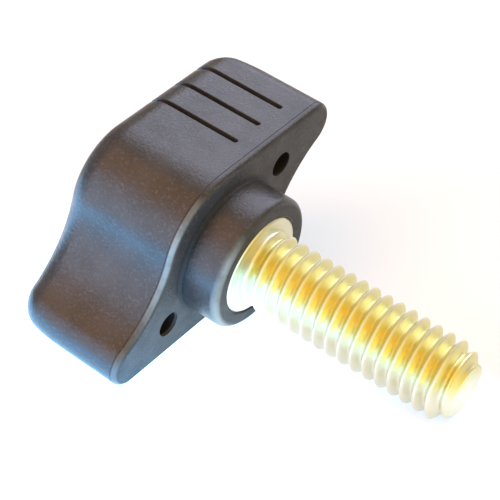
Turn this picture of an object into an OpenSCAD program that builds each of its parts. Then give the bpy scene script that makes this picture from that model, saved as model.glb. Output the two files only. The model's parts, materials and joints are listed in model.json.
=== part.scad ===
// Wing screw: an S-shaped moulded knob with a steel stud moulded into it.
// Each piece is drawn upright, stud down, with the seat (the hub's end face) at height 0 and the screw's
// axis on Z. at_rest() then lays the screw down as it lies on a table: on the lower edge of one thumb face
// and on the end of the stud.

/* [Wings] */
// Distance from the screw's axis to each flat thumb face
face_d = 9.3; // [8.6:0.1:11]
// Radius of the round barrel that each thumb face runs into
barrel_r = 7.5; // [6.5:0.1:8.4]
// How far each thumb face runs past the axis before the barrel starts
barrel_shift = 1.4; // [0.5:0.1:2.5]
// Distance along the thumb face from the axis to the centre of the round tip
wing_reach = 13.2; // [12:0.1:18]
// Radius of the round tip of each wing
tip_r = 2.6; // [2.4:0.05:3]
// Radius of the hollow behind each wing
hollow_r = 11.7; // [8:0.1:20]
// Height of the wings, from their under face to their top
wing_h = 13.5; // [12:0.1:18]
// Rounding of the lower edge of the wings
base_round = 0.6; // [0.3:0.05:1.5]
// Width of the rounding of the top edge
top_round = 2.2; // [1:0.1:2.3]
// Height of the rounding of the top edge
top_round_h = 2.8; // [1:0.1:4]
// How far a wing's tip draws in towards its top corner
corner_in = 1.8; // [0.4:0.1:2.4]
// Height over which a wing's tip draws in
corner_h = 6; // [4.2:0.1:7]
// Draft of the walls, in degrees, so that the knob leaves its mould
draft = 0.75; // [0:0.05:1.5]

/* [Hub] */
// Diameter of the round hub under the wings
hub_d = 14.1; // [13:0.1:16]
// Height of the hub, from the seat to the under face of the wings
hub_h = 4.4; // [2.5:0.1:8]
// Rounding of the hub's end edge
hub_round = 0.8; // [0.3:0.05:1]
// Fillet between the hub and the under face of the wings
root_round = 0.4; // [0.2:0.05:0.6]
// Bevel of the hub's mouth round the stud's collar
mouth_bevel = 0.25; // [0.1:0.05:0.4]

/* [Grip grooves] */
// Number of grooves in each thumb face
groove_count = 3; // [1:1:3]
// Distance from the axis to the first groove
groove_first = 3.6; // [2:0.1:5]
// Distance between grooves
groove_pitch = 3.55; // [2:0.05:4]
// Width of a groove
groove_w = 0.55; // [0.3:0.05:1]
// Depth of a groove
groove_depth = 0.5; // [0.3:0.05:0.8]
// Height of a groove's lower end above the under face
groove_rise = 2.55; // [1.5:0.05:6]

/* [Relief holes] */
// Diameter of the blind hole in each wing's under face
hole_d = 2.6; // [1.5:0.1:3.2]
// Depth of the blind holes
hole_depth = 7; // [2:0.1:9]
// Distance along the thumb face from the axis to a hole
hole_along = 8.05; // [7.6:0.05:9.5]
// Distance from the axis to a hole, towards the thumb face
hole_up = 5.2; // [4.6:0.05:6]

/* [Stud] */
// Major diameter of the thread
thread_d = 7.9375; // [5:0.0125:9]
// Length of the stud beyond the seat
stud_len = 23.6; // [16:0.1:60]
// Length of the bevel at the end of the stud
end_bevel_h = 1.7; // [0.5:0.1:3]
// Diameter of the flat end of the stud
end_d = 5.7; // [3:0.1:6]

/* [Anchor] */
// Diameter of the collar that shows in the hub's end
collar_d = 10.3; // [9.9:0.1:10.6]
// Height of the plain ring of the collar
collar_h = 1.2; // [0.6:0.1:2.4]
// Diameter over the serrations of the buried bands
band_d = 9.7; // [8.8:0.1:10.2]
// Number of serrations round the anchor
serrations = 24; // [12:1:32]
// Depth of the serrations
serration_depth = 0.5; // [0.2:0.05:0.8]
// Diameter of the neck that holds the stud in the knob
neck_d = 7.2; // [5:0.1:8.4]
// Height of the neck
neck_h = 3; // [1.5:0.1:5]
// Height of the serrated band between the ring and the neck
lower_band_h = 3.6; // [1.5:0.1:5]
// Thickness of plastic between the anchor's end and the top of the wings
cover = 5.1; // [3:0.1:6]

/* [Hidden] */
$fn = 96;
// Steps along each round stretch of the wings' outline and edges
barrel_steps = 12;
tip_steps = 16;
hollow_steps = 12;
base_steps = 5;
corner_steps = 4;
top_steps = 9;
// How far cutters and joined solids run past the faces they cross
past = 1;
// Least radius left at a wing's tip where the top edge has turned in
least_tip = 0.12;
wing_top = hub_h + wing_h;
wall_from = hub_h + base_round;
wall_to = wing_top - top_round_h;
wall_in = wall_inset(wall_to);
corner_from = wing_top - corner_h;
// How far the fillet's round runs into the under face, so that the two cross
root_sink = root_round / 12;
top_in = min(top_round, tip_r - wall_in - least_tip);
// Centres of this half's barrel and the other's
barrel_c = [barrel_shift, face_d - barrel_r];
far_c = -barrel_c;
// The knob rests on its lower edge's rounding, and the stud on the start of its end bevel
thread_r = thread_d / 2;
bevel_at = stud_len - end_bevel_h;
edge_drop = face_d - base_round - thread_r;
edge_run = wall_from + bevel_at;
tilt = atan2(edge_drop, edge_run) + asin(base_round / norm([edge_drop, edge_run]));
// Ends of the laid screw along X, from the seat's centre
tip_x = stud_len * cos(tilt) + end_d / 2 * sin(tilt);
head_x = wall_to * cos(tilt) + (face_d - wall_in - top_in) * sin(tilt)
    + norm([top_round_h * cos(tilt), top_in * sin(tilt)]);
rest_x = (head_x - tip_x) / 2;
rest_z = bevel_at * sin(tilt) + thread_r * cos(tilt);

function angle_of(v) = atan2(v.y, v.x);

// Point at distance ra from a and rb from b, on the left of the way from a to b
function touching_centre(a, ra, b, rb) =
    let (apart = norm(b - a), ahead = (b - a) / apart)
    let (along = (ra * ra - rb * rb + apart * apart) / (2 * apart))
    let (aside = sqrt(ra * ra - along * along))
    a + along * ahead + aside * [-ahead.y, ahead.x];

function arc(c, r, from, to, steps) =
    [for (i = [0:steps]) let (t = from + (to - from) * i / steps) c + r * [cos(t), sin(t)]];

// One half of the wings' outline, set in by d, with its tip drawn in by pull: barrel, thumb face, tip, hollow
function half_outline(d, pull) =
    let (tip_c = [pull - wing_reach, face_d - tip_r])
    let (hollow_c = touching_centre(far_c, hollow_r + barrel_r, tip_c, hollow_r + tip_r))
    let (barrel_from = angle_of(far_c - hollow_c))
    let (hollow_from = angle_of(tip_c - hollow_c))
    let (hollow = arc(hollow_c, hollow_r + d, hollow_from, barrel_from, hollow_steps))
    concat(
        arc(barrel_c, barrel_r - d, barrel_from, 90, barrel_steps),
        arc(tip_c, tip_r - d, 90, hollow_from + 180, tip_steps),
        [for (i = [1:hollow_steps - 1]) hollow[i]]
    );
function outline(d, pull) = let (h = half_outline(d, pull)) concat(h, -h);

function wall_inset(z) = (z - wall_from) * tan(draft);

// Inset and height of each ring of the wings, from the under face up to the top
function wing_rings() = concat(
    [for (i = [0:base_steps]) let (t = 90 * i / base_steps)
        [base_round * (1 - sin(t)), hub_h + base_round * (1 - cos(t))]],
    wall_rings()
);
function wall_rings() = concat(
    [for (i = [0:corner_steps - 1]) let (z = corner_from + (wall_to - corner_from) * i / corner_steps)
        [wall_inset(z), z]],
    [for (i = [0:top_steps]) let (t = 90 * i / top_steps)
        [wall_in + top_in * (1 - cos(t)), wing_top - top_round_h * (1 - sin(t))]]
);

// How far a wing's tip is drawn in at height z
function tip_pull(z) =
    let (share = min(1, max(0, (z - corner_from) / corner_h)))
    corner_in * (1 - sqrt(1 - share * share));

// The S-shaped head: the outline lofted through its rings, with flat ends
module wings() {
    rings = wing_rings();
    last = len(rings) - 1;
    n = len(outline(0, 0));
    low_mid = (last + 1) * n;
    high_mid = low_mid + 1;
    points = concat(
        [for (ring = rings, p = outline(ring[0], tip_pull(ring[1]))) [p.x, p.y, ring[1]]],
        [[0, 0, hub_h], [0, 0, wing_top]]
    );
    walls = [for (i = [0:last - 1], j = [0:n - 1]) let (k = (j + 1) % n, a = i * n, b = a + n)
        each [[a + j, b + j, b + k], [a + j, b + k, a + k]]];
    ends = [for (j = [0:n - 1]) let (k = (j + 1) % n, b = last * n)
        each [[low_mid, j, k], [high_mid, b + k, b + j]]];
    polyhedron(points, concat(walls, ends));
}

// Both halves are alike when the screw is turned half round
module both_wings() {
    for (turn = [0, 180]) rotate([0, 0, turn]) children();
}

module hub() {
    r = hub_d / 2;
    root_from = hub_h - root_round + root_sink;
    rotate_extrude() {
        square([r - hub_round, hub_h + past]);
        translate([0, hub_round]) square([r, hub_h + past - hub_round]);
        translate([r - hub_round, hub_round]) intersection() {
            circle(hub_round);
            translate([0, -hub_round]) square([hub_round, hub_round]);
        }
        difference() {
            translate([0, root_from]) square([r + root_round, hub_h + past - root_from]);
            translate([r + root_round, root_from]) circle(root_round);
        }
    }
}

// Open-topped slot with a round lower end, of one depth down the thumb face and over its top edge
module groove(along) {
    foot = hub_h + groove_rise + groove_w / 2;
    intersection() {
        translate([-along, face_d + past, foot]) rotate([90, 0, 0]) linear_extrude(face_d) {
            circle(d = groove_w);
            translate([-groove_w / 2, 0]) square([groove_w, wing_top + past - foot]);
        }
        translate([-along - groove_w, 0, 0]) rotate([90, 0, 90]) linear_extrude(2 * groove_w) groove_side();
    }
}

// Side view of a groove: what lies outside the thumb face, set in by the groove's depth
module groove_side() {
    out = face_d + past;
    wall = concat([[0, wall_from]], wall_rings());
    floor_line = [for (ring = wall) [face_d - groove_depth - ring[0], ring[1]]];
    last = floor_line[len(floor_line) - 1];
    polygon(concat([[out, wall_from]], floor_line, [[last.x, wing_top + past], [out, wing_top + past]]));
}

module relief_hole() {
    translate([-hole_along, hole_up, hub_h - past]) cylinder(d = hole_d, h = hole_depth + past);
}

// Serrated cross-section of the anchor
module serrated_section() {
    r = band_d / 2;
    step = 360 / serrations;
    polygon([for (i = [0:serrations - 1])
        each [r * [cos(i * step), sin(i * step)],
            (r - serration_depth) * [cos((i + 0.5) * step), sin((i + 0.5) * step)]]]);
}

// The buried end of the stud, and the socket that it fills
module anchor() {
    neck_at = collar_h + lower_band_h;
    band_at = neck_at + neck_h;
    cylinder(d = collar_d, h = collar_h);
    translate([0, 0, collar_h]) linear_extrude(lower_band_h) serrated_section();
    translate([0, 0, neck_at]) cylinder(d = neck_d, h = neck_h);
    translate([0, 0, band_at]) linear_extrude(wing_top - cover - band_at) serrated_section();
}

module mouth() {
    r = collar_d / 2;
    translate([0, 0, -past]) cylinder(r = r, h = past + collar_h / 2);
    cylinder(r1 = r + mouth_bevel, r2 = r, h = mouth_bevel);
}

module shank() {
    translate([0, 0, -bevel_at]) cylinder(r = thread_r, h = bevel_at + collar_h / 2);
    translate([0, 0, -stud_len]) cylinder(d1 = end_d, d2 = thread_d, h = end_bevel_h);
}

// Turns the screw from upright to lying, with the stud towards +X, and sets it on the table
module at_rest() {
    translate([rest_x, 0, rest_z]) rotate([0, tilt, 0]) rotate([90, 0, -90]) children();
}

module wing_knob() {
    color("#2b2b2e") at_rest() difference() {
        union() {
            wings();
            hub();
        }
        anchor();
        mouth();
        both_wings() relief_hole();
        both_wings() for (i = [0:groove_count - 1]) groove(groove_first + i * groove_pitch);
    }
}

module threaded_stud() {
    color("#d8c784") at_rest() {
        shank();
        anchor();
    }
}

wing_knob();
threaded_stud();
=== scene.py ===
"""Wing screw: a moulded wing knob and its plated steel stud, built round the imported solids.

Both pieces are modelled upright, in metres: the screw's axis on Z, the seat (the hub's end face) at
height 0 and the head above it. screw_to_row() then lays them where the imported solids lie.
"""

import json
import math

import bmesh
import bpy
import numpy as np
from mathutils import Matrix, Vector


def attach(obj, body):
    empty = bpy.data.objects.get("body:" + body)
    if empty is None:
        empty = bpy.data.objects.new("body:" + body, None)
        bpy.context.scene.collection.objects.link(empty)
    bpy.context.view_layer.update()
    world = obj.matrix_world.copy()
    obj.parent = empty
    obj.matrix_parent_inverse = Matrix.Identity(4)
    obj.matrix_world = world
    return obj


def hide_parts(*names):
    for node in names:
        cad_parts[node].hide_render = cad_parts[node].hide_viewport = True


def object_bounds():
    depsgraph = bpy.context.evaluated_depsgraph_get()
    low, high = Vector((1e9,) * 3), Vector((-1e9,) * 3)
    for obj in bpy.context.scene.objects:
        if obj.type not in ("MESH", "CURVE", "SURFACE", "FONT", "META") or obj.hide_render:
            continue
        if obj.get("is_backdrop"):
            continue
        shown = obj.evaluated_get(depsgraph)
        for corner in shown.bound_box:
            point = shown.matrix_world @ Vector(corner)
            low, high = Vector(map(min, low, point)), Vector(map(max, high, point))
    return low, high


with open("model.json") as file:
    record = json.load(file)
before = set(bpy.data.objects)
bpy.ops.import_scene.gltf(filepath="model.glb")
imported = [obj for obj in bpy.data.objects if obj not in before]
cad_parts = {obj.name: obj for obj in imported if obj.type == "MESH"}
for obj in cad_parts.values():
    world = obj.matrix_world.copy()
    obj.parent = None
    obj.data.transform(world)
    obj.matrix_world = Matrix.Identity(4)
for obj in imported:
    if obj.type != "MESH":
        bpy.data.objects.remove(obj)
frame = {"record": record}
CAD_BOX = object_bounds()

bl_info = {
    "name": "Wing screw",
    "version": (1, 0, 0),
    "blender": (4, 5, 0),
    "location": "View3D > Sidebar > Wing screw",
    "description": "Builds a wing screw round its packed solids and sets it on a studio floor",
    "category": "Add Mesh",
}

MM = 0.001
BODY = "root"
KNOB_NODE, KNOB_SLOT = "wing_knob", "black_plastic"
STUD_NODE, STUD_SLOT = "threaded_stud", "yellow_zinc_steel"

# How far cutters and joined solids run past the faces they cross
PAST = 1 * MM
FACE_CROSS = 0.01 * MM
# Points round the stud and its socket: six to each of the anchor's serrations
ROUND_POINTS = 144
HOLE_POINTS = 48
# Rows of points in each turn of the thread
ROWS_PER_TURN = 18
# Rings of points in the head's lower rounding, wall and top rounding, ends included
BASE_RINGS, WALL_RINGS, TOP_RINGS = 9, 16, 17
# Steps along the arcs of the head's outline, and points along its thumb faces, ends included
BARREL_STEPS, TIP_STEPS, HOLLOW_STEPS, FACE_POINTS = 40, 36, 38, 16
# Rings in the hub's end rounding and root fillet, and how far the fillet turns towards level
HUB_RINGS, ROOT_RINGS, ROOT_TURN = 11, 8, math.radians(75)
# Rings in a groove's rounded floor, and points round its lower end
GROOVE_RINGS, GROOVE_END_POINTS = 5, 17
# How far a cutter stands over the face that it cuts, and where its lip bends, as shares of the lip
LIP_OVER, LIP_BEND = 0.6, 0.3
# Width of each side of the mould's seam, as a share of the seam
SEAM_SIDE = 0.2
# Rounding of a groove's floor, as a share of the groove's half width
GROOVE_FLOOR = 0.8
# Lean of the thread's flanks, and the rounding of its crests and roots as a share of its depth
THREAD_FLANK, THREAD_ROUNDING = math.radians(30), 0.25
# Turns from a crest to the root beside it
ROOT_AT = 0.5
# Edges that turn more than this stay crisp
CRISP_EDGE = math.radians(32)
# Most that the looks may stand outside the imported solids' box
BOX_SLACK = 0.02 * MM

# How far behind the screw's middle the light through the floor starts to turn blue
GLOW_EDGE = 8 * MM
# Where the dim floor under the stud starts and where it is dimmest: from its back, its front and the hub
DIM_FROM_BACK = (6 * MM, -1 * MM)
DIM_FROM_FRONT = (-46 * MM, -14 * MM)
DIM_FROM_HUB = (-1 * MM, 5 * MM)
# Half the floor's width, and the nearest and farthest that the camera sees, in metres
FLOOR_REACH = 1.5
CAMERA_RANGE = (0.01, 10)
# Width of the camera's sensor in millimetres
SENSOR_WIDTH = 36
# Azimuth and elevation in degrees, and width in millimetres, of each softbox
SOFTBOXES = {
    "back": (186, 46, 420),
    "front": (-25, 20, 300),
    "warm": (-30, 60, 300),
    "side": (80, 32, 560),
}
MOUNTS = {mount["name"]: mount for mount in frame["record"]["mounts"]}
THREAD_SIZES = MOUNTS["thread"]["dims"]
INCH_MM, THREADS_PER_INCH = 25.4, 18


def length(name, millimetres, description):
    """A size in the sidebar."""
    return bpy.props.FloatProperty(
        name=name, description=description, default=millimetres * MM, unit="LENGTH", precision=5
    )


def angle(name, degrees, description):
    """An angle in the sidebar."""
    return bpy.props.FloatProperty(
        name=name, description=description, default=math.radians(degrees), subtype="ANGLE"
    )


def count(name, number, description):
    """A whole number in the sidebar."""
    return bpy.props.IntProperty(name=name, description=description, default=number, min=1)


def strength(name, value, description):
    """A brightness in the sidebar."""
    return bpy.props.FloatProperty(name=name, description=description, default=value, min=0)


def colour(name, rgb, description):
    """A colour in the sidebar, as linear light."""
    return bpy.props.FloatVectorProperty(
        name=name, description=description, default=rgb, size=3, subtype="COLOR", min=0, max=1
    )


class KnobSettings(bpy.types.PropertyGroup):
    """Sizes and colours of the moulded knob."""

    face_d: length("Thumb face", 9.3, "Distance from the axis to each flat thumb face")
    barrel_r: length("Barrel radius", 7.5, "Radius of the barrel that each thumb face runs into")
    barrel_shift: length("Barrel shift", 1.4, "How far each thumb face runs past the axis")
    wing_reach: length("Wing reach", 13.2, "From the axis to the centre of a wing's round tip")
    tip_r: length("Tip radius", 2.6, "Radius of the round tip of each wing")
    hollow_r: length("Hollow radius", 11.7, "Radius of the hollow behind each wing")
    wing_h: length("Wing height", 13.5, "Height of the wings, from under face to top")
    base_round: length("Lower rounding", 0.6, "Rounding of the wings' lower edge")
    top_round: length("Top rounding", 2.2, "Width of the rounding of the top edge")
    top_round_h: length("Top rounding height", 2.8, "Height of the rounding of the top edge")
    least_tip: length("Least tip", 0.12, "Least radius left at a tip where the top edge has turned in")
    corner_in: length("Corner draw", 1.8, "How far a wing's tip draws in towards its top corner")
    corner_h: length("Corner height", 6, "Height over which a wing's tip draws in")
    draft: angle("Draft", 0.75, "Lean of the walls, so that the knob leaves its mould")
    seam_w: length("Seam width", 0.17, "Width of the mould's seam round the wings")
    seam_depth: length("Seam depth", 0.05, "Depth of the mould's seam round the wings")
    hub_d: length("Hub diameter", 14.1, "Diameter of the round hub under the wings")
    hub_h: length("Hub height", 4.4, "Height of the hub, from the seat to the wings' under face")
    hub_round: length("Hub rounding", 0.8, "Rounding of the hub's end edge")
    root_round: length("Root fillet", 0.4, "Fillet between the hub and the wings' under face")
    mouth_bevel: length("Mouth bevel", 0.25, "Bevel of the hub's mouth round the stud's collar")
    groove_count: count("Grooves", 3, "Number of grip grooves in each thumb face")
    groove_first: length("First groove", 3.6, "Distance from the axis to the first groove")
    groove_pitch: length("Groove pitch", 3.55, "Distance between grooves")
    groove_w: length("Groove width", 0.55, "Width of a groove")
    groove_depth: length("Groove depth", 0.5, "Depth of a groove")
    groove_rise: length("Groove rise", 2.55, "Height of a groove's lower end above the under face")
    groove_lip: length("Groove lip", 0.07, "Rounding of a groove's edges")
    hole_d: length("Hole diameter", 2.6, "Diameter of the blind hole in each wing's under face")
    hole_depth: length("Hole depth", 7, "Depth of the blind holes")
    hole_along: length("Hole along", 8.05, "Distance from the axis to a hole, along the thumb face")
    hole_up: length("Hole up", 5.2, "Distance from the axis to a hole, towards the thumb face")
    hole_lip: length("Hole lip", 0.1, "Rounding of a hole's edge")
    plastic: colour("Plastic", (0.026, 0.025, 0.025), "Colour of the plastic")
    plastic_bloom: colour("Bloom", (0.04, 0.037, 0.037), "Colour of the plastic's dull bloom")
    # Colour of the painted highlight on the wings' lower edges and the hub's rim
    plastic_highlight: colour("Highlit plastic", (0.22, 0.24, 0.23), "Colour of the plastic's worn edges")
    plastic_speck: colour("Specks", (0.05, 0.05, 0.053), "Colour of the pale specks in the plastic")
    # Colour of the painted shade in the holes, the grooves and the corner at the hub's root
    plastic_painted_shade: colour("Deep plastic", (0.006, 0.006, 0.007), "Colour in holes and grooves")


class StudSettings(bpy.types.PropertyGroup):
    """Sizes and colours of the plated stud."""

    thread_r: length("Thread radius", THREAD_SIZES["r_mm"], "Major radius of the thread")
    pitch: length("Thread pitch", INCH_MM / THREADS_PER_INCH, "Distance between the thread's crests")
    thread_depth: length("Thread depth", 0.866, "Depth of the thread")
    crest_w: length("Crest width", 0.18, "Width of the flat on the thread's crests")
    first_crest: length("First crest", 1.983, "From the seat to the first crest on the knob's plan X")
    run_out: length("Run-out", 1.5, "Length over which the thread fades out under the collar")
    full_len: length("Full length", THREAD_SIZES["length_mm"], "From the seat to the end bevel")
    end_bevel_h: length("End bevel", 1.7, "Length of the bevel at the end of the stud")
    end_d: length("End diameter", 5.7, "Diameter of the stud at its end, before its edge is rounded")
    end_round: length("End rounding", 0.3, "Rounding of the edge of the stud's end")
    collar_d: length("Collar diameter", 10.3, "Diameter of the collar that shows in the hub's end")
    collar_h: length("Collar height", 1.2, "Height of the plain ring of the collar")
    collar_bevel: length("Collar bevel", 0.15, "Bevel of the collar's edge")
    fit_gap: length("Fit gap", 0.01, "Gap between the anchor and the plastic round it")
    band_d: length("Band diameter", 9.7, "Diameter over the serrations of the buried bands")
    serrations: count("Serrations", 24, "Number of serrations round the anchor")
    serration_depth: length("Serration depth", 0.5, "Depth of the serrations")
    neck_d: length("Neck diameter", 7.2, "Diameter of the neck that holds the stud in the knob")
    neck_h: length("Neck height", 3, "Height of the neck")
    lower_band_h: length("Lower band", 3.6, "Height of the serrated band under the neck")
    anchor_h: length("Anchor height", 12.8, "From the seat to the buried end of the anchor")
    # The amber is painted on the side that faces the camera, as a painted reflection of the warm room, and
    # straw away from it
    amber: colour("Amber", (0.71, 0.64, 0.165), "Colour of the plating where its film is thick")
    straw: colour("Straw", (0.7, 0.66, 0.34), "Colour of the plating where its film is thin")
    # Also the colour of the painted pale underside and of the painted crest highlight
    silver: colour("Silver", (0.78, 0.78, 0.68), "Colour of the plating where it is rubbed")


class StageSettings(bpy.types.PropertyGroup):
    """The floor, the lights and the camera."""

    floor: colour("Floor", (0.7, 0.75, 0.765), "Colour of the floor")
    far_glow: colour("Far glow", (1.0, 0.97, 0.95), "Colour of the floor's light behind the screw")
    far_glow_strength: strength("Far glow strength", 0.05, "Brightness of that light")
    near_glow: colour("Near glow", (0.5, 0.75, 1.0), "Colour of the floor's light under the screw")
    near_glow_strength: strength("Near glow strength", 2.7, "Brightness of that light")
    front_glow: colour("Front glow", (0.1, 0.5, 1.0), "Colour of the floor's light in front of the screw")
    front_glow_strength: strength("Front glow strength", 7.2, "Brightness of that light")
    fore_glow: colour("Fore glow", (1.0, 0.98, 0.96), "Colour of the floor's light far in front of it")
    fore_glow_strength: strength("Fore glow strength", 0.7, "Brightness of that light")
    stud_glow: colour("Stud glow", (0.55, 0.7, 1.0), "Colour of the floor's light under the stud")
    stud_glow_strength: strength("Stud glow strength", 0.56, "Brightness of that light")
    near_at: length("Near at", 6, "Where the near glow is full, in front of the middle")
    front_at: length("Front at", 28, "Where the front glow is full, in front of the middle")
    fore_at: length("Fore at", 95, "Where the fore glow is full, in front of the middle")
    room: colour("Room", (1.0, 0.82, 0.6), "Colour of the light from all round")
    room_strength: strength("Room strength", 0.48, "Brightness of the light from all round")
    back: colour("Back", (0.69, 0.76, 1.0), "Colour of the softbox behind the screw")
    back_strength: strength("Back strength", 4.0, "Brightness of the softbox behind the screw")
    front: colour("Front", (0.78, 0.8, 1.0), "Colour of the softbox in front of the screw")
    front_strength: strength("Front strength", 3.7, "Brightness of the softbox in front of the screw")
    warm: colour("Warm", (1.0, 0.42, 0.1), "Colour of the warm softbox above the screw")
    warm_strength: strength("Warm strength", 2.3, "Brightness of the warm softbox above the screw")
    side: colour("Side", (1.0, 0.68, 0.06), "Colour of the softbox beside the camera")
    side_strength: strength("Side strength", 0.9, "Brightness of the softbox beside the camera")
    softbox_distance: length("Softbox distance", 400, "From the screw to each softbox")
    azimuth: angle("Azimuth", 39.3, "The camera's direction round the screw")
    elevation: angle("Elevation", 36.56, "The camera's height above the horizon")
    roll: angle("Roll", 3.39, "How far the picture's top leans to the right")
    distance: length("Distance", 184.29, "From the camera to the point it is aimed at")
    aim_x: length("Aim X", -4.95, "Where the camera is aimed, along the stud")
    aim_y: length("Aim Y", 1.57, "Where the camera is aimed, across the stud")
    aim_z: length("Aim Z", 8.0, "Where the camera is aimed, above the floor")
    lens: bpy.props.FloatProperty(
        name="Lens", description="Focal length on the camera's sensor", default=136.4, unit="CAMERA"
    )


class Skin:
    """Points and faces of a closed surface, gathered ring by ring."""

    def __init__(self):
        self.points = []
        self.faces = []

    def ring(self, points):
        """Adds a ring of points and gives their numbers."""
        start = len(self.points)
        self.points.extend(tuple(float(value) for value in point) for point in points)
        return list(range(start, len(self.points)))

    def face(self, corners):
        """Adds a face, without the corners that have run together."""
        kept = [c for i, c in enumerate(corners) if c != corners[i - 1]]
        if len(set(kept)) > 2:
            self.faces.append(kept)

    def band(self, low, high):
        """Joins two rings of equal length."""
        for i in range(len(low)):
            k = (i + 1) % len(low)
            self.face([low[i], low[k], high[k], high[i]])

    def loft(self, rings):
        """Adds a solid through rings of equal length, closed at both ends."""
        numbers = [self.ring(points) for points in rings]
        for low, high in zip(numbers, numbers[1:]):
            self.band(low, high)
        self.face(numbers[0][::-1])
        self.face(numbers[-1])

    def object(self, name):
        """A mesh object in the scene, with its faces turned outwards."""
        mesh = bpy.data.meshes.new(name)
        mesh.from_pydata(self.points, [], self.faces)
        work = bmesh.new()
        work.from_mesh(mesh)
        bmesh.ops.recalc_face_normals(work, faces=work.faces)
        work.to_mesh(mesh)
        work.free()
        made = bpy.data.objects.new(name, mesh)
        bpy.context.scene.collection.objects.link(made)
        return made


def evaluated_mesh(piece):
    """The piece's mesh with its modifiers applied."""
    graph = bpy.context.evaluated_depsgraph_get()
    mesh = bpy.data.meshes.new_from_object(piece.evaluated_get(graph))
    piece.modifiers.clear()
    return mesh


def combine(piece, tool, operation):
    """Joins the tool to the piece or cuts it out of it, and removes the tool."""
    step = piece.modifiers.new(operation, "BOOLEAN")
    step.operation = operation
    step.solver = "EXACT"
    step.object = tool
    piece.data = evaluated_mesh(piece)
    bpy.data.objects.remove(tool)


def split_wide_faces(piece):
    """Splits the faces of many corners, which cuts leave, into well-shaped triangles."""
    work = bmesh.new()
    work.from_mesh(piece.data)
    wide = [face for face in work.faces if len(face.verts) > 4]
    bmesh.ops.triangulate(work, faces=wide, ngon_method="BEAUTY")
    work.to_mesh(piece.data)
    work.free()


def shade(piece):
    """Smooth shading that keeps flat faces flat and sharp edges crisp."""
    piece.data.shade_smooth()
    piece.data.set_sharp_from_angle(angle=CRISP_EDGE)
    weigh = piece.modifiers.new("Flat faces", "WEIGHTED_NORMAL")
    weigh.keep_sharp = True
    piece.data = evaluated_mesh(piece)


def screw_to_row():
    """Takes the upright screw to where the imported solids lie, from the thread's mount."""
    thread = MOUNTS["thread"]
    tipward = Vector(thread["axis"]).normalized()
    seat = Vector(thread["pos_m"]) - tipward * THREAD_SIZES["length_mm"] * MM / 2
    plan_x = Vector((0, -1, 0))
    plan_y = plan_x.cross(tipward)
    turned = Matrix((plan_x, plan_y, -tipward)).transposed().to_4x4()
    return Matrix.Translation(seat) @ turned


def place(piece, node, slot):
    """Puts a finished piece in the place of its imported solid."""
    piece.data.transform(screw_to_row())
    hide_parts(node)
    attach(piece, BODY)


def arc(centre, radius, start, end, steps):
    """Points along an arc, ends included."""
    turn = np.linspace(start, end, steps + 1)
    return np.array(centre) + radius * np.column_stack((np.cos(turn), np.sin(turn)))


def direction(vector):
    """Angle of a plan vector."""
    return math.atan2(vector[1], vector[0])


def touching_centre(a, ra, b, rb):
    """Point at distance ra from a and rb from b, on the left of the way from a to b."""
    apart = np.linalg.norm(b - a)
    ahead = (b - a) / apart
    along = (ra**2 - rb**2 + apart**2) / (2 * apart)
    aside = math.sqrt(ra**2 - along**2)
    return a + along * ahead + aside * np.array((-ahead[1], ahead[0]))


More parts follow.
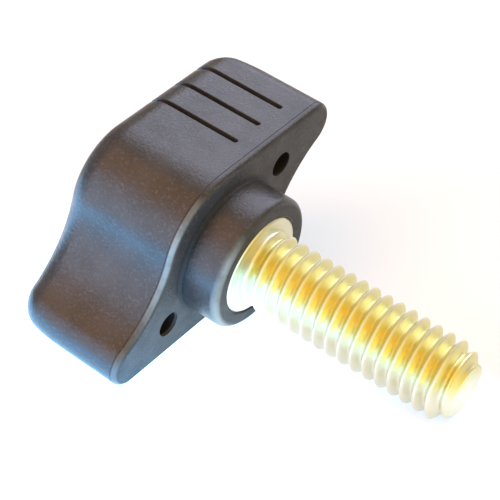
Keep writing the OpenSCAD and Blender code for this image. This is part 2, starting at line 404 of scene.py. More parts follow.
class Wings:
    """The S-shaped head: how far each height is set in, and its plan outline there."""

    def __init__(self, knob):
        self.knob = knob
        self.barrel_c = np.array((knob.barrel_shift, knob.face_d - knob.barrel_r))
        self.top = knob.hub_h + knob.wing_h
        self.wall_from = knob.hub_h + knob.base_round
        self.wall_to = self.top - knob.top_round_h
        self.wall_in = (self.wall_to - self.wall_from) * math.tan(knob.draft)
        self.top_in = min(knob.top_round, knob.tip_r - self.wall_in - knob.least_tip)

    def heights(self):
        """Heights of the rings, close together where an edge turns."""
        knob = self.knob
        base_turn = np.linspace(0, math.pi / 2, BASE_RINGS)
        base = knob.hub_h + knob.base_round * (1 - np.cos(base_turn))
        seam = self.wall_from + knob.seam_w * np.array((SEAM_SIDE, 1 - SEAM_SIDE, 1))
        wall = np.linspace(seam[-1], self.wall_to, WALL_RINGS)[1:-1]
        top_turn = np.linspace(0, math.pi / 2, TOP_RINGS)
        top = self.top - knob.top_round_h * (1 - np.sin(top_turn))
        return np.concatenate((base, seam, wall, top))

    def inset(self, height):
        """How far the wall is set in at a height: lower rounding, draft and top rounding."""
        knob = self.knob
        under = np.clip((self.wall_from - height) / knob.base_round, 0, 1)
        over = np.clip((height - self.wall_to) / knob.top_round_h, 0, 1)
        leaning = np.clip(height, self.wall_from, self.wall_to) - self.wall_from
        return (
            knob.base_round * (1 - np.sqrt(1 - under**2))
            + leaning * math.tan(knob.draft)
            + self.top_in * (1 - np.sqrt(1 - over**2))
        )

    def seam(self, height):
        """Depth of the mould's seam at a height."""
        inside = self.wall_from < height < self.wall_from + self.knob.seam_w
        return self.knob.seam_depth if inside else 0

    def tip_pull(self, height):
        """How far a wing's tip is drawn in at a height."""
        share = min(1, max(0, (height - self.top) / self.knob.corner_h + 1))
        return self.knob.corner_in * (1 - math.sqrt(1 - share**2))

    def outline(self, inset, pull):
        """The plan outline: barrel, thumb face, tip and hollow, and the same turned half round."""
        knob = self.knob
        quarter = math.pi / 2
        tip_c = np.array((pull - knob.wing_reach, knob.face_d - knob.tip_r))
        hollow_c = touching_centre(
            -self.barrel_c, knob.hollow_r + knob.barrel_r, tip_c, knob.hollow_r + knob.tip_r
        )
        barrel_from = direction(-self.barrel_c - hollow_c)
        hollow_from = direction(tip_c - hollow_c)
        barrel = arc(self.barrel_c, knob.barrel_r - inset, barrel_from, quarter, BARREL_STEPS)
        tip = arc(tip_c, knob.tip_r - inset, quarter, hollow_from + math.pi, TIP_STEPS)
        face = np.linspace(barrel[-1], tip[0], FACE_POINTS)[1:-1]
        hollow = arc(hollow_c, knob.hollow_r + inset, hollow_from, barrel_from, HOLLOW_STEPS)[1:-1]
        half = np.concatenate((barrel, face, tip, hollow))
        return np.concatenate((half, -half))

    def ring(self, height):
        """The ring of points at a height."""
        plan = self.outline(self.inset(height) + self.seam(height), self.tip_pull(height))
        return np.column_stack((plan, np.full(len(plan), height)))


def circle(radius, height, points=ROUND_POINTS):
    """A level ring of points round the screw's axis."""
    turn = np.arange(points) * math.tau / points
    return np.column_stack(
        (radius * np.cos(turn), radius * np.sin(turn), np.full(points, height))
    )


def make_wings(wings):
    """The S-shaped head, lofted through its rings."""
    skin = Skin()
    skin.loft([wings.ring(height) for height in wings.heights()])
    return skin.object("wing_knob_body")


def make_hub(knob):
    """The round hub, with its rounded end edge and the fillet at its root."""
    radius, root = knob.hub_d / 2, knob.root_round
    skin = Skin()
    rings = []
    for turn in np.linspace(0, math.pi / 2, HUB_RINGS):
        out = radius - knob.hub_round * (1 - math.sin(turn))
        rings.append(circle(out, knob.hub_round * (1 - math.cos(turn))))
    # The fillet stops short of level, so that it crosses the under face
    root_from = knob.hub_h + FACE_CROSS - root * math.sin(ROOT_TURN)
    for turn in np.linspace(0, ROOT_TURN, ROOT_RINGS):
        rings.append(circle(radius + root * (1 - math.cos(turn)), root_from + root * math.sin(turn)))
    rings.append(circle(radius, knob.hub_h + PAST))
    skin.loft(rings)
    return skin.object("hub")


def half_turn(points, turned):
    """The points, turned half round the axis where asked."""
    return points * (-1, -1, 1) if turned else points


def lip_levels(half_w, lip):
    """Half width and depth of a cutter's upper levels, for an edge that is broken by a lip."""
    return [
        (half_w + (1 + LIP_OVER) * lip, -LIP_OVER * lip),
        (half_w + LIP_BEND * lip, LIP_BEND * lip),
        (half_w, lip),
    ]


def groove_rings(wings, along):
    """Rings of a groove's cutter, which follows the thumb face over its top edge."""
    knob = wings.knob
    half_w = knob.groove_w / 2
    foot = knob.hub_h + knob.groove_rise + half_w
    floor_r = GROOVE_FLOOR * half_w
    levels = lip_levels(half_w, knob.groove_lip)
    for turn in np.linspace(0, math.pi / 2, GROOVE_RINGS, endpoint=False):
        out = half_w - floor_r * (1 - math.cos(turn))
        levels.append((out, knob.groove_depth - floor_r * (1 - math.sin(turn))))
    heights = wings.heights()
    side = np.append(heights[heights > foot], wings.top + PAST)
    turn = np.linspace(math.pi, math.tau, GROOVE_END_POINTS)
    rings = []
    for out, depth in levels:
        edge = np.full(len(side), out)
        across = np.concatenate((out * np.cos(turn), edge, -edge))
        height = np.concatenate((foot + out * np.sin(turn), side, side[::-1]))
        face = knob.face_d - wings.inset(height)
        rings.append(np.column_stack((across - along, face - depth, height)))
    return rings


def hole_rings(knob):
    """Rings of a relief hole's cutter, with a rounded edge and a flat, bevelled end."""
    radius, lip = knob.hole_d / 2, knob.hole_lip
    levels = lip_levels(radius, lip)
    levels += [(radius, knob.hole_depth - lip), (radius - lip, knob.hole_depth)]
    middle = (-knob.hole_along, knob.hole_up, knob.hub_h)
    return [circle(out, height, HOLE_POINTS) + middle for out, height in levels]


def serrated(radius, depth, height, teeth):
    """A ring with pointed teeth round the axis."""
    ring = circle(1, height)
    share = np.arange(ROUND_POINTS) * teeth / ROUND_POINTS % 1
    ring[:, :2] *= (radius - depth * (1 - abs(2 * share - 1)))[:, None]
    return ring


def anchor_rings(stud, gap):
    """Rings of the buried anchor from its collar up, let out by a gap for its socket."""
    neck_at = stud.collar_h + stud.lower_band_h
    band_at = neck_at + stud.neck_h
    band_r = stud.band_d / 2 + gap
    collar_r = stud.collar_d / 2 + gap
    neck_r = stud.neck_d / 2 + gap
    yield circle(collar_r, stud.collar_h + gap)
    yield serrated(band_r, stud.serration_depth, stud.collar_h + gap, stud.serrations)
    yield serrated(band_r, stud.serration_depth, neck_at + gap, stud.serrations)
    yield circle(neck_r, neck_at + gap)
    yield circle(neck_r, band_at - gap)
    yield serrated(band_r, stud.serration_depth, band_at - gap, stud.serrations)
    yield serrated(band_r, stud.serration_depth, stud.anchor_h + gap, stud.serrations)


def socket_rings(knob, stud):
    """Rings of the socket's cutter: the bevelled mouth, then the anchor."""
    collar_r = stud.collar_d / 2 + stud.fit_gap
    mouth = [
        circle(collar_r + knob.mouth_bevel + stud.collar_bevel, -stud.collar_bevel),
        circle(collar_r, knob.mouth_bevel),
    ]
    return mouth + list(anchor_rings(stud, stud.fit_gap))


def make_knob(knob, stud):
    """The knob: wings and hub, less the grooves, the relief holes and the stud's socket."""
    wings = Wings(knob)
    piece = make_wings(wings)
    combine(piece, make_hub(knob), "UNION")
    cutters = Skin()
    for turned in (False, True):
        cutters.loft([half_turn(ring, turned) for ring in hole_rings(knob)])
        for number in range(knob.groove_count):
            rings = groove_rings(wings, knob.groove_first + number * knob.groove_pitch)
            cutters.loft([half_turn(ring, turned) for ring in rings])
    cutters.loft(socket_rings(knob, stud))
    combine(piece, cutters.object("cutters"), "DIFFERENCE")
    split_wide_faces(piece)
    shade(piece)
    return piece


def eased(share):
    """A smooth step from 0 to 1."""
    share = np.clip(share, 0, 1)
    return share * share * (3 - 2 * share)


def soft_min(a, b, blend):
    """The lesser of two values, rounded off where they meet."""
    near = np.maximum(blend - abs(a - b), 0) / blend
    return np.minimum(a, b) - near * near * blend / 4


def thread_drop(stud, turns):
    """How far below its crest the thread is, at a number of turns from a crest."""
    off_crest = abs(turns - np.round(turns)) * stud.pitch
    flank = (off_crest - stud.crest_w / 2) / math.tan(THREAD_FLANK)
    blend = stud.thread_depth * THREAD_ROUNDING
    return -soft_min(-soft_min(flank, stud.thread_depth, blend), 0, blend)


def stud_radius(stud, turns, height):
    """Radius of the stud's outside: the thread, which fades out at both ends, over the bevelled end."""
    up = height + stud.full_len + stud.end_bevel_h
    share = np.clip(up / stud.end_bevel_h, 0, 1)
    fade = eased(-height / stud.run_out) * np.sqrt(share)
    bevel = stud.end_d / 2 + share * (stud.thread_r - stud.end_d / 2)
    below = np.clip(stud.end_round - up, 0, stud.end_round)
    edge = stud.end_round - np.sqrt(stud.end_round**2 - below**2)
    return bevel - edge - fade * thread_drop(stud, turns)


def add_thread(skin, stud):
    """Adds the threaded outside, its rows along the helix, and gives its end and top rings."""
    end = -stud.full_len - stud.end_bevel_h
    turn = np.arange(ROUND_POINTS) * math.tau / ROUND_POINTS
    turns_below = math.ceil((-stud.first_crest - end) / stud.pitch) + 1
    start = -stud.first_crest - turns_below * stud.pitch
    rows = math.ceil(-start / stud.pitch * ROWS_PER_TURN) + 1
    low = skin.ring(circle(float(stud_radius(stud, ROOT_AT, end)), end))
    high = skin.ring(circle(float(stud_radius(stud, ROOT_AT, 0)), 0))
    numbers = []
    for row in range(rows + ROWS_PER_TURN + 1):
        height = start + stud.pitch * (row / ROWS_PER_TURN + turn / math.tau)
        radius = stud_radius(stud, row / ROWS_PER_TURN, np.clip(height, end, 0))
        made = []
        for j in range(ROUND_POINTS):
            if height[j] <= end:
                made.append(low[j])
            elif height[j] >= 0:
                made.append(high[j])
            else:
                point = (radius[j] * math.cos(turn[j]), radius[j] * math.sin(turn[j]), height[j])
                made += skin.ring([point])
        numbers.append(made)
    for row in range(rows):
        here, above = numbers[row], numbers[row + 1]
        for j in range(ROUND_POINTS - 1):
            skin.face([here[j], here[j + 1], above[j + 1], above[j]])
        # The helix meets itself one turn up
        next_here, next_above = numbers[row + ROWS_PER_TURN], numbers[row + ROWS_PER_TURN + 1]
        skin.face([here[-1], next_here[0], next_above[0], above[-1]])
    return low, high


def make_stud(stud):
    """The stud: threaded shank, collar and serrated anchor, as one closed surface."""
    skin = Skin()
    low, high = add_thread(skin, stud)
    collar_r = stud.collar_d / 2
    rings = [circle(collar_r - stud.collar_bevel, 0), circle(collar_r, stud.collar_bevel)]
    rings += anchor_rings(stud, 0)
    below = high
    for points in rings:
        above = skin.ring(points)
        skin.band(below, above)
        below = above
    skin.face(below)
    skin.face(low[::-1])
    piece = skin.object("threaded_stud_body")
    shade(piece)
    return piece


# Places of the mix node's sockets for colours, whose names its sockets for numbers also have
MIX_SHARE, MIX_FIRST, MIX_SECOND, MIX_RESULT = 0, 6, 7, 2


class Finish:
    """A material's nodes, laid out one call at a time."""

    def __init__(self, name):
        self.material = bpy.data.materials.new(name)
        self.material.use_nodes = True
        self.tree = self.material.node_tree
        self.shader = self.tree.nodes["Principled BSDF"]
        self.place = self.upright(self.add("ShaderNodeTexCoord").outputs["Object"])

    def add(self, kind, **settings):
        """A node with its settings."""
        made = self.tree.nodes.new(kind)
        for name, value in settings.items():
            setattr(made, name, value)
        return made

    def feed(self, socket, value):
        """Sets a socket to a value or links it to another socket."""
        if isinstance(value, bpy.types.NodeSocket):
            self.tree.links.new(value, socket)
        else:
            socket.default_value = value

    def upright(self, lying):
        """A place on the lying screw, taken back to the upright one."""
        made = self.add("ShaderNodeMapping", vector_type="TEXTURE")
        seat, turned, _ = screw_to_row().decompose()
        self.feed(made.inputs["Vector"], lying)
        made.inputs["Location"].default_value = seat
        made.inputs["Rotation"].default_value = turned.to_euler()
        return made.outputs[0]

    def noise(self, size, detail=3.0, rough=0.5, place=None):
        """Cloudy noise with features of about a given size."""
        made = self.add("ShaderNodeTexNoise")
        self.feed(made.inputs["Vector"], place or self.place)
        self.feed(made.inputs["Scale"], 1 / size)
        self.feed(made.inputs["Detail"], detail)
        self.feed(made.inputs["Roughness"], rough)
        return made.outputs[0]

    def spread(self, value, low, high, to_low=0.0, to_high=1.0, ramp="LINEAR"):
        """A value taken from one range to another, and held inside it."""
        made = self.add("ShaderNodeMapRange", interpolation_type=ramp)
        for name, number in (
            ("Value", value),
            ("From Min", low),
            ("From Max", high),
            ("To Min", to_low),
            ("To Max", to_high),
        ):
            self.feed(made.inputs[name], number)
        return made.outputs[0]

    def mix(self, share, first, second):
        """One colour blended into another."""
        made = self.add("ShaderNodeMix", data_type="RGBA")
        self.feed(made.inputs[MIX_SHARE], share)
        self.feed(made.inputs[MIX_FIRST], first)
        self.feed(made.inputs[MIX_SECOND], second)
        return made.outputs[MIX_RESULT]

    def math(self, operation, first, second):
        """Arithmetic on two values."""
        made = self.add("ShaderNodeMath", operation=operation)
        self.feed(made.inputs[0], first)
        self.feed(made.inputs[1], second)
        return made.outputs[0]

    def times(self, first, second):
        """The product of two values."""
        return self.math("MULTIPLY", first, second)

    def plus(self, first, second):
        """The sum of two values."""
        return self.math("ADD", first, second)

    def larger(self, first, second):
        """The larger of two values."""
        return self.math("MAXIMUM", first, second)

    def split(self, place):
        """A place's distances along X, Y and Z."""
        made = self.add("ShaderNodeSeparateXYZ")
        self.feed(made.inputs[0], place)
        return [made.outputs[axis] for axis in "XYZ"]

    def apart(self, first, second):
        """How far two values lie apart."""
        return self.math("ABSOLUTE", self.math("SUBTRACT", first, second), 0.0)

    def reach(self, along, across):
        """Length of a plan vector."""
        squares = self.plus(self.times(along, along), self.times(across, across))
        return self.math("SQRT", squares, 0.0)

    def facing(self, axis):
        """How squarely the surface faces along an axis, from -1 to 1."""
        made = self.add("ShaderNodeVectorMath", operation="DOT_PRODUCT")
        self.feed(made.inputs[0], self.add("ShaderNodeTexCoord").outputs["Normal"])
        made.inputs[1].default_value = axis
        return made.outputs["Value"]

    def stretched(self, factors):
        """The place on the piece, scaled along each axis."""
        made = self.add("ShaderNodeMapping")
        self.feed(made.inputs["Vector"], self.place)
        made.inputs["Scale"].default_value = factors
        return made.outputs[0]

    def bump(self, height, depth, share, under=None):
        """A bumped normal, on top of another one where given."""
        made = self.add("ShaderNodeBump")
        self.feed(made.inputs["Strength"], share)
        self.feed(made.inputs["Distance"], depth)
        self.feed(made.inputs["Height"], height)
        if under is not None:
            self.feed(made.inputs["Normal"], under)
        return made.outputs[0]


def opaque(rgb):
    """A colour with full alpha."""
    return (*rgb, 1.0)


# Sizes of the plastic's noises
BLOOM_SIZE = 4 * MM
HIGHLIGHT_SIZE = 2.5 * MM
SWELL_SIZE = 1.6 * MM
SPECK_SIZE = 0.3 * MM
GRAIN_SIZE = 0.28 * MM
# Where in its noise each mark starts to show, and where it shows in full
BLOOM_SHOWS = (0.4, 0.68)
HIGHLIGHT_SHOWS = (0.25, 0.55)
SWELL_SHOWS = (0.35, 0.7)
SPECK_SHOWS = (0.55, 0.72)
# Depth of the plastic's unevenness, and how strongly its swell and its grain show
UNEVEN_DEPTH = 0.05 * MM
SWELL_STRENGTH, GRAIN_STRENGTH = 0.12, 0.8
# Roughness of the satin faces, what the matt under faces add to it, and roughness in the recesses
SATIN_ROUGHNESS, MATT_ADDS, DEEP_ROUGHNESS = (0.3, 0.4), 0.22, 0.9
# How squarely a face looks along the seat's axis where it starts to be matt, and where it is
MATT_FACING = (0.85, 0.97)
PLASTIC_SHEEN = 0.4
# Painted highlight where its noise is weakest and far out on a wing, and strength of the painted shade in
# the corner at the hub's root
LEAST_HIGHLIGHT, FAR_HIGHLIGHT, ROOT_PAINTED_SHADE = 0.3, 0.35, 0.75


def painted_edge_highlight(look, knob):
    """How strongly each place on the knob takes a painted highlight, uneven like wear: the hub's rim and
    the wings' lower edges, on the side that lies on the table.
    """
    x, y, height = look.split(look.place)
    hub_r = knob.hub_d / 2
    rim_r, lit_rim_r = hub_r - knob.hub_round, hub_r - 0.6 * knob.hub_round
    lit_rim_h = 0.3 * knob.hub_round
    rim = look.times(
        look.spread(height, knob.hub_round, lit_rim_h),
        look.spread(look.reach(x, y), rim_r, lit_rim_r),
    )
    rim_from, rim_to = 0.45 * hub_r, 0.8 * hub_r
    rim = look.times(rim, look.spread(x, rim_from, rim_to))
    edge_from, edge_to = knob.hub_h + 0.1 * knob.base_round, knob.hub_h + 0.9 * knob.base_round
    soft = 0.2 * knob.base_round
    lower_edge = look.times(
        look.spread(height, edge_from, edge_from + soft),
        look.spread(height, edge_to + soft, edge_to),
    )
    beside_from, far_from, far_to = 0.6 * hub_r, 1.35 * hub_r, 1.7 * hub_r
    beside = look.times(
        look.spread(x, beside_from, hub_r), look.spread(x, far_from, far_to, 1, FAR_HIGHLIGHT)
    )
    edges = look.larger(rim, look.times(lower_edge, beside))
    return look.times(edges, look.spread(look.noise(HIGHLIGHT_SIZE), *HIGHLIGHT_SHOWS, LEAST_HIGHLIGHT, 1))


def recesses(look, knob):
    """How much painted shade each place takes: in the relief holes, the grip grooves and the corner at the
    hub's root.
    """
    x, y, height = look.split(look.place)
    # The second wing is the first one turned half round
    wing = look.math("SIGN", y, 0.0)
    along, up = look.times(x, wing), look.times(y, wing)
    off = look.reach(look.plus(along, knob.hole_along), look.plus(up, -knob.hole_up))
    hole_r, lip = knob.hole_d / 2, knob.hole_lip
    end = knob.hub_h + knob.hole_depth
    dark_from = knob.hub_h + 4 * lip
    depth = look.times(
        look.spread(height, knob.hub_h, dark_from), look.spread(height, end + 2 * lip, end + lip)
    )
    painted_dark = look.times(depth, look.spread(off, hole_r + 2 * lip, hole_r + lip))
    half_w = knob.groove_w / 2
    dark_half_w = 0.8 * half_w
    foot = knob.hub_h + knob.groove_rise
    behind = knob.face_d - knob.top_round - 1.3 * knob.groove_depth
    soft = 0.1 * knob.groove_depth
    face = look.times(look.spread(height, foot, foot + half_w), look.spread(up, behind, behind + soft))
    for number in range(knob.groove_count):
        middle = knob.groove_first + number * knob.groove_pitch
        beside = look.spread(look.apart(along, -middle), half_w, dark_half_w)
        painted_dark = look.larger(painted_dark, look.times(face, beside))
    # Painted shade in the corner at the hub's root
    root_edge, root_dark = 1.5 * knob.root_round, 0.5 * knob.root_round
    root = look.times(
        look.spread(look.apart(height, knob.hub_h), root_edge, root_dark),
        look.spread(look.apart(look.reach(x, y), knob.hub_d / 2), root_edge, root_dark),
    )
    return look.larger(painted_dark, look.times(root, ROOT_PAINTED_SHADE))


def plastic_finish(knob):
    """Satin moulded plastic: bloom, specks, grain, matt under faces, painted shade in the recesses and a
    painted highlight on the lower edges.
    """
    look = Finish("satin_black_plastic")
    bloom = look.spread(look.noise(BLOOM_SIZE, detail=4), *BLOOM_SHOWS)
    grain = look.noise(GRAIN_SIZE, detail=2)
    swell = look.noise(SWELL_SIZE)
    # A painted highlight, uneven like wear, on the hub's rim and the wings' lower edges
    lit_and_worn = painted_edge_highlight(look, knob)
    matt = look.times(look.spread(look.facing(MOUNTS["seat"]["axis"]), *MATT_FACING), MATT_ADDS)
    plain = look.mix(bloom, opaque(knob.plastic), opaque(knob.plastic_bloom))
    specks = look.spread(look.noise(SPECK_SIZE, detail=1), *SPECK_SHOWS)
    base = look.mix(specks, plain, opaque(knob.plastic_speck))
    # Painted shade in the holes, the grooves and the corner at the hub's root
    painted_dark = recesses(look, knob)
    rubbed_and_lit = look.mix(lit_and_worn, base, opaque(knob.plastic_highlight))
    look.feed(look.shader.inputs["Base Color"], look.mix(painted_dark, rubbed_and_lit, opaque(knob.plastic_painted_shade)))
    satin = look.spread(swell, *SWELL_SHOWS, *SATIN_ROUGHNESS)
    rough = look.larger(look.plus(satin, matt), look.times(painted_dark, DEEP_ROUGHNESS))
    look.feed(look.shader.inputs["Roughness"], rough)
    look.feed(look.shader.inputs["Specular IOR Level"], PLASTIC_SHEEN)
    wavy = look.bump(swell, UNEVEN_DEPTH, SWELL_STRENGTH)
    look.feed(look.shader.inputs["Normal"], look.bump(grain, UNEVEN_DEPTH, GRAIN_STRENGTH, wavy))
    return look.material


# Sizes of the plating's noises, and how ragged and how drawn out round the stud its streaks are
FILM_SIZE = 2.2 * MM
STREAK_SIZE = 0.5 * MM
STREAK_ROUGH = 0.6
STREAK_STRETCH = (1, 1, 3)
# Where in its noise each mark starts to show, and where it shows in full
FILM_SHOWS = (0.3, 0.75)
STREAK_SHOWS = (0.45, 0.8)
# Plan direction of the side painted amber, a painted reflection of the warm room on the side that faces
# the camera, and how near to it a place lies where the amber fades to straw
PAINTED_AMBER_SIDE = (0.67, 0.74)
PAINTED_AMBER_FADES = (0.985, 0.84)
# Share of the film's colour that comes from its noise
FILM_UNEVEN = 0.2
# How far the plating is paled: on the crests by wear and a painted highlight, in streaks and at the collar
# by wear, at the end, and underneath by a painted reflection of the bright floor
CREST_RUBBED_AND_LIT, STREAK_RUBBED, COLLAR_RUBBED, END_RUBBED = 0.6, 0.5, 0.6, 0.1
ROOT_UNDER_PAINTED_PALE, CREST_UNDER_PAINTED_PALE = 0.75, 0.95
# Length under the collar over which its paler plating fades
COLLAR_FADE = 1 * MM
PLATING_ROUGHNESS = (0.39, 0.46)
STREAK_DEPTH, STREAK_STRENGTH = 0.03 * MM, 0.2


def plating_finish(stud):
    """Yellow-passivated zinc: amber painted along the side that faces the camera as a painted reflection,
    straw elsewhere, crests paled partly by wear and partly as a painted highlight, and an underside
    painted pale as a reflection of the bright floor.
    """
    look = Finish("yellow_zinc_plating")
    film = look.spread(look.noise(FILM_SIZE, detail=4), *FILM_SHOWS)
    streaks = look.noise(STREAK_SIZE, rough=STREAK_ROUGH, place=look.stretched(STREAK_STRETCH))
    x, up, height = look.split(look.place)
    # Painted reflection: amber on the side that faces the camera, fading to straw away from it, with some
    # noise
    toward = look.plus(look.times(x, PAINTED_AMBER_SIDE[0]), look.times(up, PAINTED_AMBER_SIDE[1]))
    reach = look.reach(x, up)
    away_from_amber = look.spread(look.math("DIVIDE", toward, reach), *PAINTED_AMBER_FADES)
    straw_share = look.plus(look.times(away_from_amber, 1 - FILM_UNEVEN), look.times(film, FILM_UNEVEN))
    tinted = look.mix(straw_share, opaque(stud.amber), opaque(stud.straw))
    # Crests paled partly by wear and partly as a painted highlight
    crest_from = stud.thread_r - 0.3 * stud.thread_depth
    crest_to = stud.thread_r - 0.05 * stud.thread_depth
    crest = look.spread(reach, crest_from, crest_to)
    # Painted reflection of the bright floor: the underside is painted pale, palest on the crests
    under_from, under_to = 0.55 * stud.thread_r, 0.1 * stud.thread_r
    under = look.times(
        look.spread(up, under_from, under_to),
        look.spread(crest, 0, 1, ROOT_UNDER_PAINTED_PALE, CREST_UNDER_PAINTED_PALE),
    )
    collar = look.spread(height, -COLLAR_FADE, 0, 0, COLLAR_RUBBED)
    end = look.spread(height, -stud.full_len, -stud.full_len - stud.end_bevel_h, 0, END_RUBBED)
    streaked = look.spread(streaks, *STREAK_SHOWS, 0, STREAK_RUBBED)
    lit_and_worn = look.larger(look.times(crest, CREST_RUBBED_AND_LIT), streaked)
    rubbed_and_lit = look.larger(look.larger(lit_and_worn, under), look.larger(collar, end))
    look.feed(look.shader.inputs["Base Color"], look.mix(rubbed_and_lit, tinted, opaque(stud.silver)))
    look.feed(look.shader.inputs["Metallic"], 1.0)
    look.feed(look.shader.inputs["Roughness"], look.spread(film, 0, 1, *PLATING_ROUGHNESS))
    look.feed(look.shader.inputs["Normal"], look.bump(streaks, STREAK_DEPTH, STREAK_STRENGTH))
    return look.material


# The floor's unevenness: its size, where its noise shows, and how much paler its pale parts are
CLOUD_SIZE = 40 * MM
CLOUD_SHOWS = (0.3, 0.7)
CLOUD_PALER = 1.02
FLOOR_ROUGHNESS = 0.8
GLOWS = ("far_glow", "near_glow", "front_glow", "fore_glow", "stud_glow")


def floor_light(look, stage):
    """Light through the floor, in bands from behind the screw to far in front, dim under the stud."""
    along, depth, _ = look.split(look.add("ShaderNodeTexCoord").outputs["Object"])
    far, near, front, fore, dim = [
        opaque(Vector(getattr(stage, name)) * getattr(stage, name + "_strength")) for name in GLOWS
    ]
    front_ends = 2.4 * stage.front_at
    glow = look.mix(look.spread(depth, GLOW_EDGE, -stage.near_at, ramp="SMOOTHSTEP"), far, near)
    glow = look.mix(look.spread(depth, -stage.near_at, -stage.front_at), glow, front)
    glow = look.mix(look.spread(depth, -front_ends, -stage.fore_at), glow, fore)
    under_stud = look.times(
        look.spread(depth, *DIM_FROM_BACK, ramp="SMOOTHSTEP"),
        look.spread(depth, *DIM_FROM_FRONT, ramp="SMOOTHSTEP"),
    )
    under_stud = look.times(under_stud, look.spread(along, *DIM_FROM_HUB, ramp="SMOOTHSTEP"))
    return look.mix(under_stud, glow, dim)


def floor_finish(stage):
    """A matt pale floor with a hardly visible unevenness, lit from below."""
    look = Finish("pale_floor")
    clouds = look.spread(look.noise(CLOUD_SIZE, detail=2), *CLOUD_SHOWS)
    paler = opaque([min(1.0, value * CLOUD_PALER) for value in stage.floor])
    look.feed(look.shader.inputs["Base Color"], look.mix(clouds, opaque(stage.floor), paler))
    look.feed(look.shader.inputs["Roughness"], FLOOR_ROUGHNESS)
    look.feed(look.shader.inputs["Emission Color"], floor_light(look, stage))
    look.feed(look.shader.inputs["Emission Strength"], 1.0)
    return look.material


def add_floor(stage):
    """A wide floor under the screw."""
    corners = [(x * FLOOR_REACH, y * FLOOR_REACH, 0) for x, y in ((-1, -1), (1, -1), (1, 1), (-1, 1))]
    mesh = bpy.data.meshes.new("floor")
    mesh.from_pydata(corners, [], [(0, 1, 2, 3)])
    floor = bpy.data.objects.new("floor", mesh)
    floor.data.materials.append(floor_finish(stage))
    bpy.context.scene.collection.objects.link(floor)
    floor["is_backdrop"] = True


def look_from(azimuth, elevation):
    """Direction from the screw to a place at an azimuth from -Y and a height above the horizon."""
    level = math.cos(elevation)
    return Vector((math.sin(azimuth) * level, -math.cos(azimuth) * level, math.sin(elevation)))


def add_softbox(stage, name, azimuth, elevation, size):
    """A square softbox that faces the screw."""
    lamp = bpy.data.lights.new(name, "AREA")
    lamp.size = size * MM
    lamp.energy = getattr(stage, name + "_strength") * math.pi * lamp.size**2
    lamp.color = getattr(stage, name)
    softbox = bpy.data.objects.new(name, lamp)
    outward = look_from(math.radians(azimuth), math.radians(elevation))
    softbox.location = outward * stage.softbox_distance
    softbox.rotation_euler = outward.to_track_quat("Z", "Y").to_euler()
    bpy.context.scene.collection.objects.link(softbox)


def add_lights(stage):
    """A dim room and its softboxes."""
    world = bpy.data.worlds.new("room")
    world.use_nodes = True
    background = world.node_tree.nodes["Background"]
    background.inputs["Color"].default_value = opaque(stage.room)
    background.inputs["Strength"].default_value = stage.room_strength
    bpy.context.scene.world = world
    for name, place in SOFTBOXES.items():
        add_softbox(stage, name, *place)


def add_camera(stage):
    """A camera at the photograph's viewing angle."""
    lens = bpy.data.cameras.new("camera")
    lens.sensor_width = SENSOR_WIDTH
    lens.lens = stage.lens
    lens.clip_start, lens.clip_end = CAMERA_RANGE
    back = look_from(stage.azimuth, stage.elevation)
    side = Vector((0, 0, 1)).cross(back).normalized()
    upright = back.cross(side)
    up = upright * math.cos(stage.roll) + side * math.sin(stage.roll)
    camera = bpy.data.objects.new("camera", lens)
    turned = Matrix((up.cross(back), up, back)).transposed().to_4x4()
    aim = Vector((stage.aim_x, stage.aim_y, stage.aim_z))
    camera.matrix_world = Matrix.Translation(aim + back * stage.distance) @ turned
    bpy.context.scene.collection.objects.link(camera)
    bpy.context.scene.camera = camera


class WINGSCREW_OT_mould_knob(bpy.types.Operator):
    """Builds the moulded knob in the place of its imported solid"""

    bl_idname = "wing_screw.mould_knob"
    bl_label = "Mould the knob"

    def execute(self, context):
        knob = context.scene.wing_screw_knob
        piece = make_knob(knob, context.scene.wing_screw_stud)
        piece.data.materials.clear()
        piece.data.materials.append(plastic_finish(knob))
        place(piece, KNOB_NODE, KNOB_SLOT)
        return {"FINISHED"}


class WINGSCREW_OT_roll_stud(bpy.types.Operator):
    """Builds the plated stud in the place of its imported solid"""

    bl_idname = "wing_screw.roll_stud"
    bl_label = "Roll the stud"

    def execute(self, context):
        stud = context.scene.wing_screw_stud
        piece = make_stud(stud)
        piece.data.materials.append(plating_finish(stud))
        place(piece, STUD_NODE, STUD_SLOT)
        return {"FINISHED"}


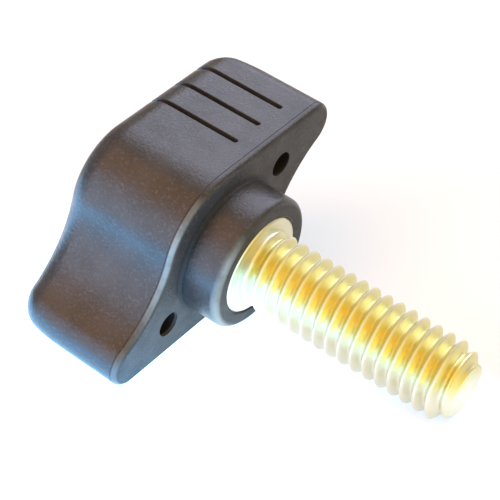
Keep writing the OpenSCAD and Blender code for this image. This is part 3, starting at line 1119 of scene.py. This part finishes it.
class WINGSCREW_OT_set_stage(bpy.types.Operator):
    """Sets the floor, the lights and the camera"""

    bl_idname = "wing_screw.set_stage"
    bl_label = "Set the stage"

    def execute(self, context):
        stage = context.scene.wing_screw_stage
        add_floor(stage)
        add_lights(stage)
        add_camera(stage)
        context.scene.view_settings.view_transform = "Standard"
        return {"FINISHED"}


class WINGSCREW_PT_sidebar(bpy.types.Panel):
    """Lists the settings and the steps in the 3D view's sidebar"""

    bl_label = "Wing screw"
    bl_space_type = "VIEW_3D"
    bl_region_type = "UI"
    bl_category = "Wing screw"

    def draw(self, context):
        for holder, step in STEPS:
            box = self.layout.box()
            settings = getattr(context.scene, holder)
            for name in settings.bl_rna.properties.keys():
                if name not in ("rna_type", "name"):
                    box.prop(settings, name)
            box.operator(step.bl_idname)


SETTINGS = {
    "wing_screw_knob": KnobSettings,
    "wing_screw_stud": StudSettings,
    "wing_screw_stage": StageSettings,
}
STEPS = (
    ("wing_screw_knob", WINGSCREW_OT_mould_knob),
    ("wing_screw_stud", WINGSCREW_OT_roll_stud),
    ("wing_screw_stage", WINGSCREW_OT_set_stage),
)
CLASSES = (*SETTINGS.values(), *(step for _, step in STEPS), WINGSCREW_PT_sidebar)


def register():
    """Makes the settings, the steps and the panel known."""
    for each in CLASSES:
        bpy.utils.register_class(each)
    for holder, group in SETTINGS.items():
        setattr(bpy.types.Scene, holder, bpy.props.PointerProperty(type=group))


def unregister():
    """Takes them away again."""
    for holder in SETTINGS:
        delattr(bpy.types.Scene, holder)
    for each in reversed(CLASSES):
        bpy.utils.unregister_class(each)


def write_sizes():
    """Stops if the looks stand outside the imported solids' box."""
    low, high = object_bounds()
    for axis in range(3):
        if low[axis] < CAD_BOX[0][axis] - BOX_SLACK or high[axis] > CAD_BOX[1][axis] + BOX_SLACK:
            raise ValueError(f"the looks stand outside the packed solids along axis {axis}")


def main():
    """Builds the pieces and the stage in order."""
    register()
    bpy.ops.wing_screw.mould_knob()
    bpy.ops.wing_screw.roll_stud()
    bpy.ops.wing_screw.set_stage()
    write_sizes()


if __name__ == "__main__":
    main()
